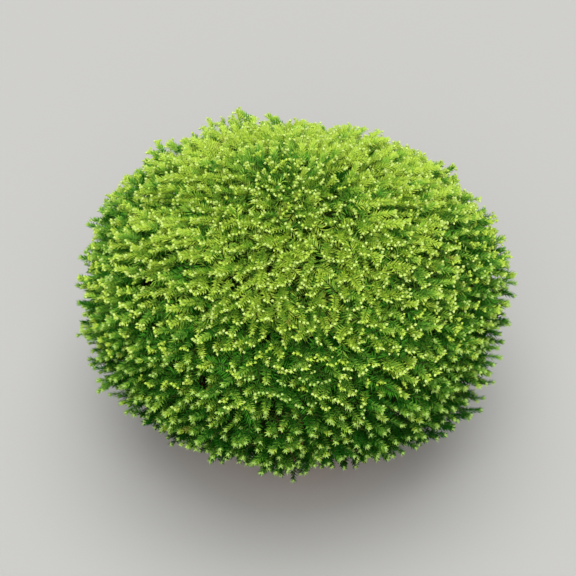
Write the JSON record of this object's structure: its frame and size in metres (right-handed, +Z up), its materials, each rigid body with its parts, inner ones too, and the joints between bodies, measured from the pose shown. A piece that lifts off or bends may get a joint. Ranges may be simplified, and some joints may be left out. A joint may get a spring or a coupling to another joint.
{
  "type": "potted dwarf norway spruce",
  "caption": "Low bun-shaped dwarf spruce of short needled sprays on boughs from a short trunk, standing in a plain low clay pan filled with compost.",
  "frame": {"origin": "centre of the pot's flat underside, on the surface it stands on", "axes": "+Z up along the pot's axis; -Y is the side that the picture shows as the front; +X is the picture's right"},
  "size_m": [0.4502, 0.4573, 0.3169],
  "materials": {
    "clay": "plain unglazed fired clay",
    "compost": "dark crumbly compost",
    "bark": "thin scaly brown bark",
    "needles": "fresh green needles with pale lime tips"
  },
  "bodies": {
    "root": {"pot": "clay", "soil": "compost", "trunk": "bark", "bough_upper_1": "bark", "bough_upper_2": "bark", "bough_upper_3": "bark", "bough_upper_4": "bark", "bough_upper_5": "bark", "bough_upper_6": "bark", "bough_middle_1": "bark", "bough_middle_2": "bark", "bough_middle_3": "bark", "bough_middle_4": "bark", "bough_middle_5": "bark", "bough_middle_6": "bark", "bough_middle_7": "bark", "bough_middle_8": "bark", "bough_lower_1": "bark", "bough_lower_2": "bark", "bough_lower_3": "bark", "bough_lower_4": "bark", "bough_lower_5": "bark", "bough_lower_6": "bark", "bough_lower_7": "bark", "bough_lower_8": "bark", "foliage_top": "needles", "foliage_upper_1": "needles", "foliage_upper_2": "needles", "foliage_upper_3": "needles", "foliage_upper_4": "needles", "foliage_upper_5": "needles", "foliage_upper_6": "needles", "foliage_middle_1": "needles", "foliage_middle_2": "needles", "foliage_middle_3": "needles", "foliage_middle_4": "needles", "foliage_middle_5": "needles", "foliage_middle_6": "needles", "foliage_middle_7": "needles", "foliage_middle_8": "needles", "foliage_lower_1": "needles", "foliage_lower_2": "needles", "foliage_lower_3": "needles", "foliage_lower_4": "needles", "foliage_lower_5": "needles", "foliage_lower_6": "needles", "foliage_lower_7": "needles", "foliage_lower_8": "needles"}
  },
  "joints": []
}
